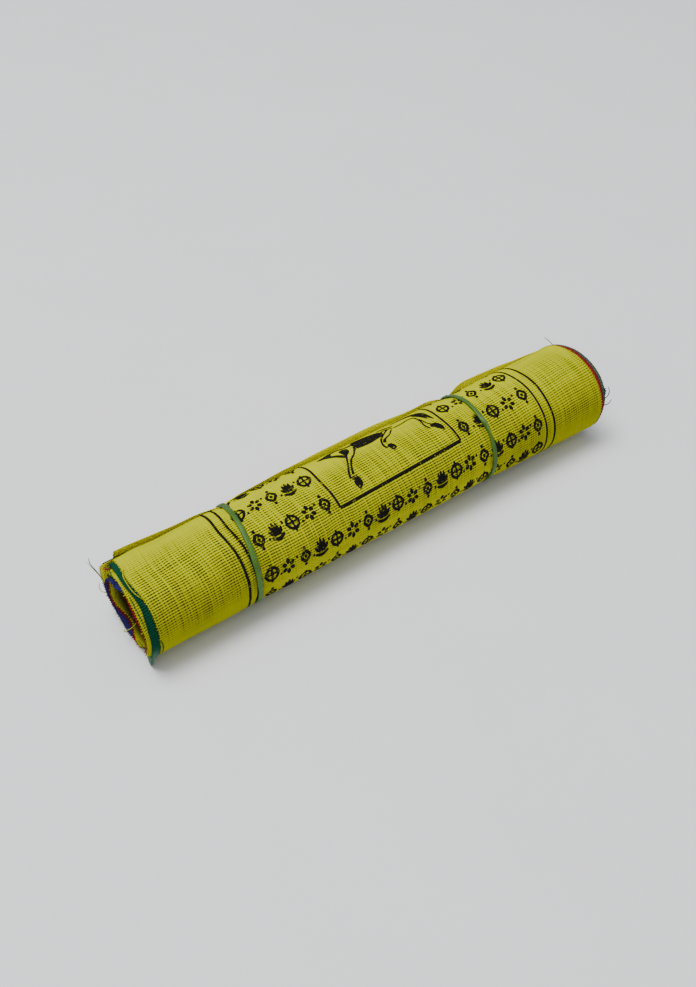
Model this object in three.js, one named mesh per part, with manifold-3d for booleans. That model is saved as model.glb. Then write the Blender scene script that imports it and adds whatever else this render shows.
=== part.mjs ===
// A roll of printed cotton prayer flags, lying on its side and held by two rubber bands.
//
// Ten flags of 200 x 240 mm are laid on each other and rolled up together, so the roll is one thick
// oval wall round an open core. The yellow flag on the outside ends in a free edge at the top of the
// back, which stands off the roll between the bands. The turns have slid along each other: at the
// left end the inner ones stand out of the roll, at the right end they lie inside it. Where a flag of
// another colour shows at an end, its edge is a sheet of its own.
//
// Millimetres, +Z up. The roll lies along X with its left end at low X. An angle round the roll is
// counted in degrees from the back (+Y) over the top (90) and the front (180) to the bottom (270).

import * as THREE from "three";
import { mergeVertices } from "three/addons/utils/BufferGeometryUtils.js";
import Module from "manifold-3d";

const wasm = await Module();
wasm.setup();

// Driving dimensions.
const ROLL_LENGTH = 200; // the width of one flag
const ROUNDNESS = 0.883; // the roll's height over its width
const FLAT_DEPTH = 0.25; // how much the roll's own weight flattens its underside
const CLOTH = 1; // thickness of a sheet of cloth in this model
const GAP = 0.3; // air between two pieces that touch

// The roll's half width, and how far the free edge stands off it, at places along it.
const SECTIONS = [
  { along: 0, halfWidth: 18.6, edgeLift: 2.0 },
  { along: 14, halfWidth: 18.8, edgeLift: 1.85 },
  { along: 28, halfWidth: 19.0, edgeLift: 0.8 },
  { along: 41, halfWidth: 19.1, edgeLift: 0.6 },
  { along: 55, halfWidth: 19.1, edgeLift: 0.6 },
  { along: 72, halfWidth: 18.9, edgeLift: 1.4 },
  { along: 90, halfWidth: 18.8, edgeLift: 2.2 },
  { along: 112, halfWidth: 18.9, edgeLift: 2.3 },
  { along: 131, halfWidth: 19.0, edgeLift: 1.5 },
  { along: 147, halfWidth: 19.1, edgeLift: 1.5 },
  { along: 160, halfWidth: 19.3, edgeLift: 1.3 },
  { along: 175, halfWidth: 19.5, edgeLift: 0.7 },
  { along: 188, halfWidth: 19.8, edgeLift: 0.1 },
  { along: 200, halfWidth: 20.0, edgeLift: 0.0 },
];

// The free edge of the outer flag: where it leaves the roll and where it ends.
const EDGE = { root: 8, tip: 44, steps: 5, sink: 1.1, settle: 60, rise: 0.2, riseFrom: 300 };

// The open core, as half sizes and how far its middle lies from the roll's middle.
const CORE = { halfWidth: 12.4, halfHeight: 9.9, back: -2.0, up: -2.0, steps: 24 };

// The rubber bands. A band leans: "lean" is how far it swings along the roll, furthest to the right
// at the angle "leanAt". It pinches the roll, mostly just under itself.
const BANDS = [
  { side: "left", along: 41.4, lean: 2.4, leanAt: 16, width: 2.0 },
  { side: "right", along: 145.5, lean: 1.5, leanAt: 44, width: 1.8 },
];
const BAND_THICKNESS = 1;
const PINCH = { depth: 0.8, halfFlat: 1.3, near: 1.1, wide: 6, wideShare: 0.4, leanReach: 12, edgeReach: 5 };
const BAND_FLOOR = 0.1; // the height of a band over the ground

// The turns that stand out at the left end and lie back at the right end.
const LEFT_TURNS = { inset: 1.4, out: 4.3, uneven: 0.8, unevenAt: 150 };
const RIGHT_TURNS = { inset: 1.0, back: 5.5 };

// The edges of flags of other colours. Insets are measured inwards from the roll's surface.
const GREEN_LEFT = { from: 38, to: 207, inset: 0.1, out: 3.1, footY: -12.4, footZ: 0.25, footRise: 2.6 };
const BLUE_LEFT = { from: -130, to: 110, tuckedIn: 6, out: 4.7 };
const RIGHT_EDGES = [
  { colour: "red", inset: 1.3, out: 1.0 },
  { colour: "green", inset: 2.6, out: 2.0 },
];

const ROUND_STEPS = 40;
const EDGE_STEPS = 32;

// Materials, with the colours of the dyed cloth and the rubber.
const cloth = (color) => new THREE.MeshStandardMaterial({ color, roughness: 0.9, metalness: 0 });
const MATERIALS = {
  yellow: cloth("#b8b21e"),
  green: cloth("#14533a"),
  blue: cloth("#23236b"),
  red: cloth("#9c1f2c"),
  rubber: new THREE.MeshStandardMaterial({ color: "#6f9a45", roughness: 0.55, metalness: 0 }),
};

const radians = (degrees) => THREE.MathUtils.degToRad(degrees);
const eased = (t) => THREE.MathUtils.smoothstep(t, 0, 1);
const bell = (distance, reach) => Math.exp(-((distance / reach) ** 2));

// A named column of SECTIONS at any place along the roll, eased between its rows.
function sizeAt(along, column) {
  const last = SECTIONS.length - 1;
  const next = SECTIONS.findIndex((row) => row.along >= along);
  if (next === 0) return SECTIONS[0][column];
  if (next < 0) return SECTIONS[last][column];
  const [a, b] = [SECTIONS[next - 1], SECTIONS[next]];
  return THREE.MathUtils.lerp(a[column], b[column], eased((along - a.along) / (b.along - a.along)));
}

// How far a place along the roll is from the flat under a band.
const fromBand = (along, band) => Math.max(0, Math.abs(along - band.along) - PINCH.halfFlat);

// How tightly the bands squeeze the roll here: 1 right under a band, 0 far from both.
function squeeze(along) {
  const each = BANDS.map((band) => {
    const d = fromBand(along, band);
    return (1 - PINCH.wideShare) * bell(d, PINCH.near) + PINCH.wideShare * bell(d, PINCH.wide);
  });
  return Math.max(...each);
}

// The free edge's height off the roll: nothing under the bands.
function edgeLift(along) {
  const held = Math.max(...BANDS.map((band) => bell(fromBand(along, band), PINCH.edgeReach)));
  return sizeAt(along, "edgeLift") * (1 - held);
}

// Rings round the roll lean with the bands near them.
function leaned(along, angle) {
  return BANDS.reduce((x, band) => {
    const swing = band.lean * Math.cos(radians(angle - band.leanAt));
    return x + swing * bell(along - band.along, PINCH.leanReach);
  }, along);
}

// The height of the roll's middle line over the ground.
const middleHeight = (along) => sizeAt(along, "halfWidth") * ROUNDNESS - FLAT_DEPTH;

// How far the roll's underside is lifted off the ground, which is where the bands pass under it.
const underside = (along) => (BAND_FLOOR + BAND_THICKNESS + GAP) * squeeze(along);

// A point of the roll's surface, or one that lies "inset" under it, and no lower than "floor".
function surface(along, angle, inset = 0, floor = underside(along) + inset) {
  const halfWidth = sizeAt(along, "halfWidth");
  const halfHeight = halfWidth * ROUNDNESS;
  const [c, s] = [Math.cos(radians(angle)), Math.sin(radians(angle))];
  const length = Math.hypot(c / halfWidth, s / halfHeight);
  const under = inset + PINCH.depth * squeeze(along);
  const y = halfWidth * c - (under * c) / halfWidth / length;
  const z = middleHeight(along) + halfHeight * s - (under * s) / halfHeight / length;
  return [leaned(along, angle), y, Math.max(z, floor)];
}

// A point of the core's wall, or one that lies "inset" closer to the core's middle.
function coreWall(along, angle, inset = 0) {
  const scale = sizeAt(along, "halfWidth") / SECTIONS[0].halfWidth;
  const y = CORE.back + (CORE.halfWidth * scale - inset) * Math.cos(radians(angle));
  const z = (CORE.halfHeight * scale - inset) * Math.sin(radians(angle));
  return [along, y, middleHeight(along) + CORE.up + z];
}

// How far the surface lies in under the free edge, and stands out where it runs up to that edge.
function edgeInset(angle) {
  const sunk = EDGE.sink * (1 - eased((angle - EDGE.tip) / EDGE.settle));
  const risen = EDGE.rise * eased((angle - EDGE.riseFrom) / (360 + EDGE.root - EDGE.riseFrom));
  return sunk - risen;
}

// The outline of the roll across its axis: once round, then out and back along the free edge.
function rollOutline(along) {
  const outline = [];
  for (let k = 0; k <= ROUND_STEPS; k++) {
    const angle = EDGE.root + (360 * k) / ROUND_STEPS;
    outline.push(surface(along, angle, edgeInset(angle)));
  }
  const face = (share, inset) => {
    const angle = EDGE.root + 360 + share * (EDGE.tip - EDGE.root);
    return surface(along, angle, inset - EDGE.rise - edgeLift(along) * share * share);
  };
  for (let k = 1; k <= EDGE.steps; k++) outline.push(face(k / EDGE.steps, 0));
  for (let k = EDGE.steps; k >= 0; k--) outline.push(face(k / EDGE.steps, CLOTH));
  return outline;
}

// A closed geometry through loops of points, each with as many points. "closed" joins the last loop
// to the first, and otherwise both ends get a flat cap.
function loft(loops, closed = false) {
  const count = loops[0].length;
  const index = [];
  const last = closed ? loops.length : loops.length - 1;
  for (let row = 0; row < last; row++) {
    for (let k = 0; k < count; k++) {
      const [a, b] = [row * count + k, row * count + ((k + 1) % count)];
      const next = ((row + 1) % loops.length) * count - row * count;
      index.push(a, b, b + next, a, b + next, a + next);
    }
  }
  if (!closed) {
    const cap = (loop, start, turned) => {
      const flat = loop.map((point) => new THREE.Vector2(point[1], point[2]));
      for (const [a, b, c] of THREE.ShapeUtils.triangulateShape(flat, [])) {
        index.push(start + a, start + (turned ? c : b), start + (turned ? b : c));
      }
    };
    const rising = THREE.ShapeUtils.area(loops[0].map(([, y, z]) => new THREE.Vector2(y, z))) > 0;
    cap(loops[0], 0, rising);
    cap(loops.at(-1), (loops.length - 1) * count, !rising);
  }
  const geometry = new THREE.BufferGeometry();
  geometry.setAttribute("position", new THREE.Float32BufferAttribute(loops.flat(2), 3));
  geometry.setIndex(index);
  return geometry;
}

// A manifold-3d solid of a closed geometry, turned so that its faces point outwards.
function solidOf(geometry) {
  const merged = mergeVertices(geometry, 1e-4);
  const triVerts = new Uint32Array(merged.index.array);
  const vertProperties = merged.attributes.position.array;
  const corner = (k) => new THREE.Vector3().fromArray(vertProperties, 3 * triVerts[k]);
  let volume = 0;
  for (let k = 0; k < triVerts.length; k += 3) {
    volume += corner(k).dot(corner(k + 1).cross(corner(k + 2)));
  }
  if (volume < 0) triVerts.reverse();
  return new wasm.Manifold(new wasm.Mesh({ numProp: 3, vertProperties, triVerts }));
}

function meshOf(solid, name, material) {
  const { vertProperties, triVerts } = solid.getMesh();
  const geometry = new THREE.BufferGeometry();
  geometry.setAttribute("position", new THREE.Float32BufferAttribute(vertProperties, 3));
  geometry.setIndex([...triVerts]);
  geometry.computeVertexNormals();
  const mesh = new THREE.Mesh(geometry, material);
  mesh.name = name;
  return mesh;
}

// Shares of a whole turn, and angles from one to another with both ends.
const steps = (count) => Array.from({ length: count }, (_, k) => k / count);
const spread = (from, to) => [...steps(EDGE_STEPS), 1].map((t) => THREE.MathUtils.lerp(from, to, t));

// A point of the roll moved to another place along it.
const movedTo = (along, [, y, z]) => [along, y, z];

// Places along the roll: a row for each section, and more rows where a band pinches it.
function stations() {
  const besideBand = [0, 1.3, 2.4, 4, 7, 11].flatMap((d) => (d ? [-d, d] : [0]));
  const near = BANDS.flatMap((band) => besideBand.map((d) => band.along + d));
  const far = SECTIONS.map((row) => row.along).filter((x) => near.every((n) => Math.abs(n - x) > 2.5));
  return [...near, ...far].sort((a, b) => a - b);
}

// A tube of cloth between two insets, from one place along the roll to another.
function turnsBetween(from, to, outer, inner) {
  const ring = (at, wall) => steps(ROUND_STEPS).map((t) => wall(at, 360 * t));
  const skin = loft([ring(from, outer), ring(to, outer)]);
  const hole = loft([ring(from - 1, inner), ring(to + 1, inner)]);
  return solidOf(skin).subtract(solidOf(hole));
}

// The wound body: all turns fused, with the outer flag's free edge and the open core.
function flagRoll() {
  const overhang = 10;
  const end = ROLL_LENGTH;
  const coreLoop = (along) => steps(CORE.steps).map((t) => coreWall(along, 360 * t));
  const coreStations = [-overhang, ...SECTIONS.map((row) => row.along), end + overhang];
  const core = solidOf(loft(coreStations.map(coreLoop)));

  const { inset, out, uneven, unevenAt } = LEFT_TURNS;
  const edgeAt = (angle) => -out - uneven * Math.cos(radians(angle - unevenAt));
  const standingOut = turnsBetween(
    -out,
    2,
    (along, angle) => movedTo(along < 0 ? edgeAt(angle) : along, surface(0, angle, inset)),
    (along, angle) => movedTo(along, coreWall(0, angle)),
  );
  const lyingBack = turnsBetween(
    end - RIGHT_TURNS.back,
    end + 2,
    (along, angle) => movedTo(along, surface(end, angle, RIGHT_TURNS.inset)),
    (along, angle) => movedTo(along, coreWall(end, angle)),
  );
  return solidOf(loft(stations().map(rollOutline)))
    .add(standingOut)
    .subtract(core)
    .subtract(lyingBack);
}

// A strip of cloth as a solid, through four corners across the strip for each step along it.
function clothStrip(quads) {
  const geometry = loft(quads, true);
  const last = (quads.length - 1) * 4;
  const sides = [...geometry.index.array].slice(0, last * 6);
  const ends = [0, 2, 1, 0, 3, 2, last, last + 1, last + 2, last, last + 2, last + 3];
  geometry.setIndex([...sides, ...ends]);
  return solidOf(geometry);
}

// The green flag at the left end: it lies round the turns that stand out, and its corner leaves the
// roll at the front and hangs to the ground.
function greenLeftEdge() {
  const { from, to, inset, out, footY, footZ, footRise } = GREEN_LEFT;
  const [near, far] = [-GAP, -out];
  const quads = spread(from, to).map((angle) => {
    const [outer, inner] = [surface(0, angle, inset), surface(0, angle, inset + CLOTH)];
    return [movedTo(near, outer), movedTo(far, outer), movedTo(far, inner), movedTo(near, inner)];
  });
  quads.push([
    [near, footY - CLOTH, footZ + footRise],
    [far, footY - CLOTH, footZ],
    [far, footY, footZ],
    [near, footY, footZ + footRise],
  ]);
  return clothStrip(quads);
}

// The blue flag at the left end: it lines the back of the core and stands out furthest.
function blueLeftEdge() {
  const { from, to, tuckedIn, out } = BLUE_LEFT;
  const quads = spread(from, to).map((angle) => {
    const [outer, inner] = [coreWall(0, angle, GAP), coreWall(0, angle, GAP + CLOTH)];
    return [movedTo(-out, outer), movedTo(tuckedIn, outer), movedTo(tuckedIn, inner), movedTo(-out, inner)];
  });
  return clothStrip(quads);
}

// A flag's edge that shows at the right end, standing in the space that the inner turns leave.
function rightEdge({ inset, out }) {
  const [seat, tip] = [ROLL_LENGTH - RIGHT_TURNS.back + GAP, ROLL_LENGTH + out];
  const quads = steps(EDGE_STEPS).map((t) => {
    const outer = surface(ROLL_LENGTH, 360 * t, inset);
    const inner = surface(ROLL_LENGTH, 360 * t, inset + CLOTH);
    return [movedTo(seat, outer), movedTo(tip, outer), movedTo(tip, inner), movedTo(seat, inner)];
  });
  return solidOf(loft(quads, true));
}

// A rubber band: it lies on the free edge, and comes down to the roll a little past its tip.
function rubberBand(band) {
  const under = (angle) => {
    const passed = eased((angle - EDGE.tip) / EDGE.settle);
    return Math.min(THREE.MathUtils.lerp(-EDGE.rise, 0, passed), edgeInset(angle));
  };
  const quads = steps(ROUND_STEPS).map((t) => {
    const angle = EDGE.root + 360 * t;
    const corner = (side, inset, floor) =>
      surface(band.along + (side * band.width) / 2, angle, under(angle) + inset, floor);
    return [
      corner(-1, -GAP, BAND_FLOOR + BAND_THICKNESS),
      corner(1, -GAP, BAND_FLOOR + BAND_THICKNESS),
      corner(1, -GAP - BAND_THICKNESS, BAND_FLOOR),
      corner(-1, -GAP - BAND_THICKNESS, BAND_FLOOR),
    ];
  });
  return solidOf(loft(quads, true));
}

const part = new THREE.Group();
part.add(meshOf(flagRoll(), "flag_roll", MATERIALS.yellow));
part.add(meshOf(greenLeftEdge(), "green_flag_left_edge", MATERIALS.green));
part.add(meshOf(blueLeftEdge(), "blue_flag_left_edge", MATERIALS.blue));
for (const edge of RIGHT_EDGES) {
  part.add(meshOf(rightEdge(edge), edge.colour + "_flag_right_edge", MATERIALS[edge.colour]));
}
for (const band of BANDS) {
  part.add(meshOf(rubberBand(band), "rubber_band_" + band.side, MATERIALS.rubber));
}

// The origin is under the middle of the whole part, on the ground.
const bounds = new THREE.Box3().setFromObject(part);
const middle = bounds.getCenter(new THREE.Vector3());
part.position.set(-middle.x, -middle.y, -bounds.min.z);

export default part;
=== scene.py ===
import logging
from dataclasses import dataclass, field
from enum import Enum

import bmesh
import bpy
import numpy as np
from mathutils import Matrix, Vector


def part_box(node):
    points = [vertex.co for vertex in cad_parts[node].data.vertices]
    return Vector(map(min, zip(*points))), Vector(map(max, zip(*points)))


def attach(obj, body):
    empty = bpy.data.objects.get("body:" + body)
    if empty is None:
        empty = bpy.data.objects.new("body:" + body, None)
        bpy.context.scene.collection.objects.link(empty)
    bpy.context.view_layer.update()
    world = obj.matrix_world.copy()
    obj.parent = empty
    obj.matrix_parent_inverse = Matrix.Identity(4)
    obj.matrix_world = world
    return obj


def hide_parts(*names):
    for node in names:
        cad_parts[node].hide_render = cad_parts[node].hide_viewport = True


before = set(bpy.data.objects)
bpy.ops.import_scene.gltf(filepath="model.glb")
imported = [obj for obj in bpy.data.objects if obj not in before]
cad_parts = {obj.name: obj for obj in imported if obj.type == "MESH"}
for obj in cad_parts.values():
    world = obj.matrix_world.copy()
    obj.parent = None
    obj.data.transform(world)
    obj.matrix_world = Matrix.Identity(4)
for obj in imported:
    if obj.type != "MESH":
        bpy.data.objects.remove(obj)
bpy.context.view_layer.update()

# A roll of printed cotton prayer flags on its side, held by two rubber bands.
#
# Lengths are in millimetres until a mesh is made. "along" is the distance from the left end of the
# outer flag. An angle round the roll is counted in degrees from the back over the top (90) and the
# front (180) to the bottom (270). "wound" is how far a flag has been followed from the outer
# flag's free edge, in degrees: it goes down the back, under the roll, up the front, over the top
# and in under the free edge, where the second turn starts.

log = logging.getLogger("prayer_flags")

MM = 0.001
TURN = 360.0
FLAG_MAP = "flag"  # a place on a flag, in millimetres: across it, and from its free edge

Array = np.ndarray
Socket = bpy.types.NodeSocket
Row = tuple[float, ...]
Colour = tuple[float, float, float, float]
Place = tuple[float, float, float]
Bulge = tuple[float, float, float]  # a shift, the angle round the roll where it is largest, its reach


def eased(value: Array | float) -> Array | float:
    """A step from 0 to 1 with soft ends: 3 t squared minus 2 t cubed, for t held between 0 and 1."""
    t = np.clip(value, 0.0, 1.0)
    return t * t * (3.0 - 2.0 * t)


def between(value: Array, start: float, rise: float, stop: float, fall: float) -> Array:
    """1 on a stretch of values and 0 beyond it, eased up from "start" and down again from "stop"."""
    return eased((value - start) / rise) * (1.0 - eased((value - stop) / fall))


def bell(distance: Array | float, reach: float) -> Array | float:
    """A soft bump that is 1 at no distance: e to the minus (distance over reach) squared."""
    return np.exp(-((distance / reach) ** 2))


def cos_deg(angle: Array | float) -> Array | float:
    """The cosine of an angle in degrees."""
    return np.cos(np.radians(angle))


def sin_deg(angle: Array | float) -> Array | float:
    """The sine of an angle in degrees."""
    return np.sin(np.radians(angle))


def turned_from(angle: Array | float, middle: float) -> Array | float:
    """How far an angle lies from another, between -180 and 180 degrees."""
    return (angle - middle + 180.0) % TURN - 180.0


def linear(hex_colour: str) -> Colour:
    """Turns an sRGB colour into the linear one that the shaders use.

    Args:
        hex_colour: six hex digits, such as "b8bb08".

    Returns:
        Red, green, blue and an alpha of 1, each from 0 to 1.
    """
    parts = [int(hex_colour[k : k + 2], 16) / 255 for k in (0, 2, 4)]
    return (*[c / 12.92 if c <= 0.04045 else ((c + 0.055) / 1.055) ** 2.4 for c in parts], 1.0)


class Graph:
    """A material and its node tree, which grows by one node at a time."""

    def __init__(self, name: str) -> None:
        """Starts an empty material of that name."""
        self.material = bpy.data.materials.new(name)
        self.material.use_nodes = True
        self.nodes = self.material.node_tree.nodes
        self.links = self.material.node_tree.links
        self.nodes.clear()

    def add(
        self, kind: str, inputs: dict | tuple = (), output: int | str = 0, **settings: str
    ) -> Socket | None:
        """Adds a node.

        Args:
            kind: the node's Blender type without "ShaderNode".
            inputs: its sockets by name or place, or the first ones in their order. Each is a plain
                value or another node's output.
            output: the output to hand back.
            settings: its properties by name.

        Returns:
            The output socket, or None if the node has none.
        """
        node = self.nodes.new("ShaderNode" + kind)
        for name, value in settings.items():
            setattr(node, name, value)
        for key, value in (inputs if isinstance(inputs, dict) else dict(enumerate(inputs))).items():
            if isinstance(value, Socket):
                self.links.new(value, node.inputs[key])
            else:
                node.inputs[key].default_value = value
        return node.outputs[output] if node.outputs else None


def placed(name: str, data: bpy.types.ID) -> bpy.types.Object:
    """A new object in the scene, at the origin."""
    made = bpy.data.objects.new(name, data)
    bpy.context.scene.collection.objects.link(made)
    return made


@dataclass
class Surface:
    """Points of a surface and the faces between them, with what its finish reads."""

    points: Array
    faces: Array
    flag_map: Array | None = None
    values: dict[str, Array] = field(default_factory=dict)

    @staticmethod
    def join(parts: list["Surface"]) -> "Surface":
        """Puts several surfaces with faces of the same kind together as one."""
        starts = np.cumsum([0] + [len(part.points) for part in parts[:-1]])
        mapped = all(part.flag_map is not None for part in parts)
        return Surface(
            np.concatenate([part.points for part in parts]),
            np.concatenate([part.faces + start for part, start in zip(parts, starts)]),
            np.concatenate([part.flag_map for part in parts]) if mapped else None,
        )

    def piece(
        self, name: str, finish: bpy.types.Material, slot: str, thickness: float = 0.0
    ) -> bpy.types.Object:
        """Makes the surface a Blender piece that rides on the roll.

        Args:
            name: the piece's name.
            finish: its material.
            slot: not used.
            thickness: how thick it is made, inwards from where the surface lies.

        Returns:
            The new object, at the origin, with its place in its mesh.
        """
        mesh = bpy.data.meshes.new(name)
        mesh.from_pydata((self.points * MM).tolist(), [], self.faces.tolist())
        mesh.polygons.foreach_set("use_smooth", np.ones(len(mesh.polygons), bool))
        if self.flag_map is not None:
            corners = np.empty(len(mesh.loops), np.int32)
            mesh.loops.foreach_get("vertex_index", corners)
            layer = mesh.uv_layers.new(name=FLAG_MAP)
            layer.uv.foreach_set("vector", self.flag_map[corners].astype(np.float32).ravel())
        for key, numbers in self.values.items():
            attribute = mesh.attributes.new(key, "FLOAT", "POINT")
            attribute.data.foreach_set("value", numbers.astype(np.float32).ravel())
        mesh.materials.append(finish)
        mesh.validate()
        made = placed(name, mesh)
        if thickness:
            solid = made.modifiers.new("thickness", "SOLIDIFY")
            solid.thickness, solid.offset = thickness * MM, -1.0
        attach(made, "root")
        log.info("%s: %d points, %d faces", name, len(self.points), len(self.faces))
        return made


def grid_faces(rows: int, columns: int, closed: bool = False) -> Array:
    """The four-cornered faces of a grid of points that is stored row by row.

    Args:
        rows: how many rows the grid has.
        columns: how many points a row has.
        closed: whether each row's last point joins its first.

    Returns:
        One row of four point numbers for each face, running round it.
    """
    row = np.arange(rows - 1)[:, None]
    column = np.arange(columns if closed else columns - 1)[None, :]
    here = row * columns + column
    beside = row * columns + (column + 1) % columns
    return np.stack([here, beside, beside + columns, here + columns], -1).reshape(-1, 4)


# The wound form.


@dataclass(frozen=True)
class Band:
    """Where a rubber band lies: it leans, so it swings along the roll by "lean" each way.

    Where it twists, it turns over by "twist" degrees about its own middle.
    """

    side: str
    along: float
    lean: float
    lean_at: float
    width: float
    twist_at: float
    twist: float

    def place(self, angle: Array | float) -> Array | float:
        """How far along the roll the band's middle is, at an angle round it."""
        return self.along + self.lean * cos_deg(angle - self.lean_at)


@dataclass(frozen=True)
class Roll:
    """The roll's form: an oval that narrows under the bands, round an open core.

    Its half width and the lift of the outer flag's free edge are given at stations along it. The
    free edge ends at an angle on the left and slants from there. The inner flags' free edges are
    tucked some degrees behind it.
    """

    length: float = 200.0
    roundness: float = 0.883
    flat_depth: float = 0.25
    bow: float = 0.7
    stations: Row = (0, 14, 28, 41, 55, 72, 90, 112, 131, 147, 160, 175, 188, 200)
    half_widths: Row = (18.6, 18.8, 19.0, 19.1, 19.1, 18.9, 18.8, 18.9, 19.0, 19.1, 19.3, 19.5, 19.8, 20.0)
    edge_lifts: Row = (2.0, 1.9, 1.0, 0.6, 0.6, 1.4, 2.1, 2.2, 1.1, 1.6, 2.4, 1.9, 0.8, 0.0)
    free_edge: float = 50.0
    free_edge_slant: float = -0.115
    free_edge_reach: float = 38.0
    free_corner: float = 2.0
    tuck_angle: float = 16.0
    slack: float = 2.8
    core_half_width: float = 12.4
    core_half_height: float = 9.9
    core_back: float = -2.0
    core_up: float = -2.0
    layers: int = 37
    flags: int = 10
    band_floor: float = 0.1
    band_thickness: float = 1.0
    band_gap: float = 0.3
    pinch: float = 0.8
    bands: tuple[Band, ...] = (
        Band("left", 41.4, 2.4, 16.0, 2.0, 300.0, 0.0),
        Band("right", 145.5, 1.5, 44.0, 1.8, 128.0, 180.0),
    )

    def half_width(self, along: Array) -> Array:
        """The oval's half width, eased from station to station."""
        return self._eased_row(along, self.half_widths)

    def edge_lift(self, along: Array) -> Array:
        """How far the outer flag's free edge stands off, which the bands hold down."""
        edge_angle, half_band, soft = 45.0, 1.0, 5.0
        held = max_of([bell(np.abs(along - b.place(edge_angle)) - half_band, soft) for b in self.bands])
        return self._eased_row(along, self.edge_lifts) * (1.0 - held)

    def _eased_row(self, along: Array, numbers: Row) -> Array:
        """A row of the table of stations, read anywhere along the roll."""
        places, row = np.array(self.stations, float), np.array(numbers, float)
        at = np.clip(along, 0.0, self.length)
        left = np.clip(np.searchsorted(places, at, side="right") - 1, 0, len(places) - 2)
        share = eased((at - places[left]) / (places[left + 1] - places[left]))
        return row[left] + (row[left + 1] - row[left]) * share

    def squeeze(self, along: Array, angle: Array) -> Array:
        """How tightly the bands hold the roll: 1 under a band, with a narrow and a wide soft side."""
        half_band, narrow, wide = 0.9, 1.0, 6.0
        far = [np.maximum(0.0, np.abs(along - band.place(angle)) - half_band) for band in self.bands]
        return max_of([0.6 * bell(d, narrow) + 0.4 * bell(d, wide) for d in far])

    def puckers(self, along: Array, angle: Array) -> Array:
        """Short folds that run away from a band: 17 and 29 waves round the roll, unevenly spaced."""
        high, reach, start = 0.11, 7.0, 1.5
        wave = sin_deg(17 * angle + 60 * sin_deg(3 * angle)) + 0.6 * sin_deg(29 * angle + 8 * along)
        away = [np.abs(along - band.place(angle)) for band in self.bands]
        return high * wave * sum(bell(d, reach) * eased(d / start) for d in away)

    def sway(self, along: Array, angle: Array) -> Array:
        """The slack of the wound cloth: two long soft waves, a fifth of a millimetre high."""
        slow = sin_deg(2.1 * along + 2 * angle) + 0.7 * sin_deg(4.7 * along - 3 * angle + 70)
        return 0.1 * slow + 0.05 * sin_deg(11 * along + 5 * angle)

    def shoulder(self, along: Array, angle: Array) -> Array:
        """The rise at the left end, where the flags' free edges lie under the outer flag."""
        high, middle, reach = 0.85, 42.0, 26.0
        return high * bell(turned_from(angle, middle), reach) * (1.0 - eased((along - 2.0) / 16.0))

    def outside(self, along: Array, angle: Array, inset: Array | float = 0.0) -> tuple[Array, Array]:
        """A point of the oval, moved inwards at a right angle to it, and held off the ground.

        The folds, the slack and the squeeze of the bands move it in or out as well.

        Args:
            along: distance from the left end.
            angle: angle round the roll.
            inset: how far inside the oval, or outside it where it is negative.

        Returns:
            The distance to the back of the roll's middle line, and the height.
        """
        wide = self.half_width(along)
        high = wide * self.roundness
        c, s = cos_deg(angle), sin_deg(angle)
        steepness = np.hypot(c / wide, s / high)
        pressed = self.squeeze(along, angle)
        under = inset + self.pinch * pressed + self.sway(along, angle) + self.puckers(along, angle)
        under = under - self.shoulder(along, angle)
        back = wide * c - under * c / wide / steepness + self.middle_back(along)
        up = self.middle_up(along) + high * s - under * s / high / steepness
        floor = (self.band_floor + self.band_thickness + self.band_gap) * pressed + np.maximum(inset, 0.0)
        return back, np.maximum(up, floor)

    def middle_up(self, along: Array) -> Array:
        """The height of the roll's middle line."""
        return self.half_width(along) * self.roundness - self.flat_depth

    def middle_back(self, along: Array) -> Array:
        """The roll's slight bow: both ends lie nearer than the middle."""
        return -self.bow * (along / self.length * 2.0 - 1.0) ** 2

    def core(self, along: Array, angle: Array) -> tuple[Array, Array]:
        """A point of the open core's wall, as outside() gives one."""
        size = self.half_width(along) / self.half_widths[0]
        back = self.core_back + self.core_half_width * size * cos_deg(angle) + self.middle_back(along)
        up = self.core_up + self.core_half_height * size * sin_deg(angle) + self.middle_up(along)
        return back, up

    def edge_angle(self, along: Array) -> Array:
        """Where the outer flag's free edge ends: the cloth is drawn askew, so it slants."""
        return self.free_edge + self.free_edge_slant * along

    def gap(self, wound: Array) -> Array:
        """The slack under the second and later turns at the back, just past the free edges."""
        past = turned_from(wound, 0.0)
        return self.slack * between(past, -3.0, 24.0, 34.0, 60.0) * (wound > TURN / 2)

    def tuck(self, along: Array) -> Array:
        """How far the inner flags' free edges lie behind the outer one's, in degrees: away from the
        left end the second turn stays high until it is well under the outer flag's edge."""
        return self.tuck_angle * eased((along - 2.0) / 12.0)

    def depth(self, order: int, along: Array, wound: Array, wall: Array) -> Array:
        """How deep a flag lies in the wall.

        The flags lie on each other in their order, ten to a turn. A turn goes down by ten flags
        just past the free edges, where the flags of the first turn come in.

        Args:
            order: the flag's place in the stack, 0 on the outside.
            along: distance from the left end.
            wound: how far the flag has been followed.
            wall: the thickness of the whole wall there.

        Returns:
            The depth in millimetres.
        """
        behind = wound - self.tuck(along)
        before, ramp = 8.0, 50.0
        started, *later = [eased((behind - TURN * k + before) / ramp) for k in range(4)]
        step = (wall - self.gap(turned_from(behind, 0.0) + 2 * TURN)) / self.layers
        return step * (order * started + self.flags * sum(later)) + self.gap(behind)

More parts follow.
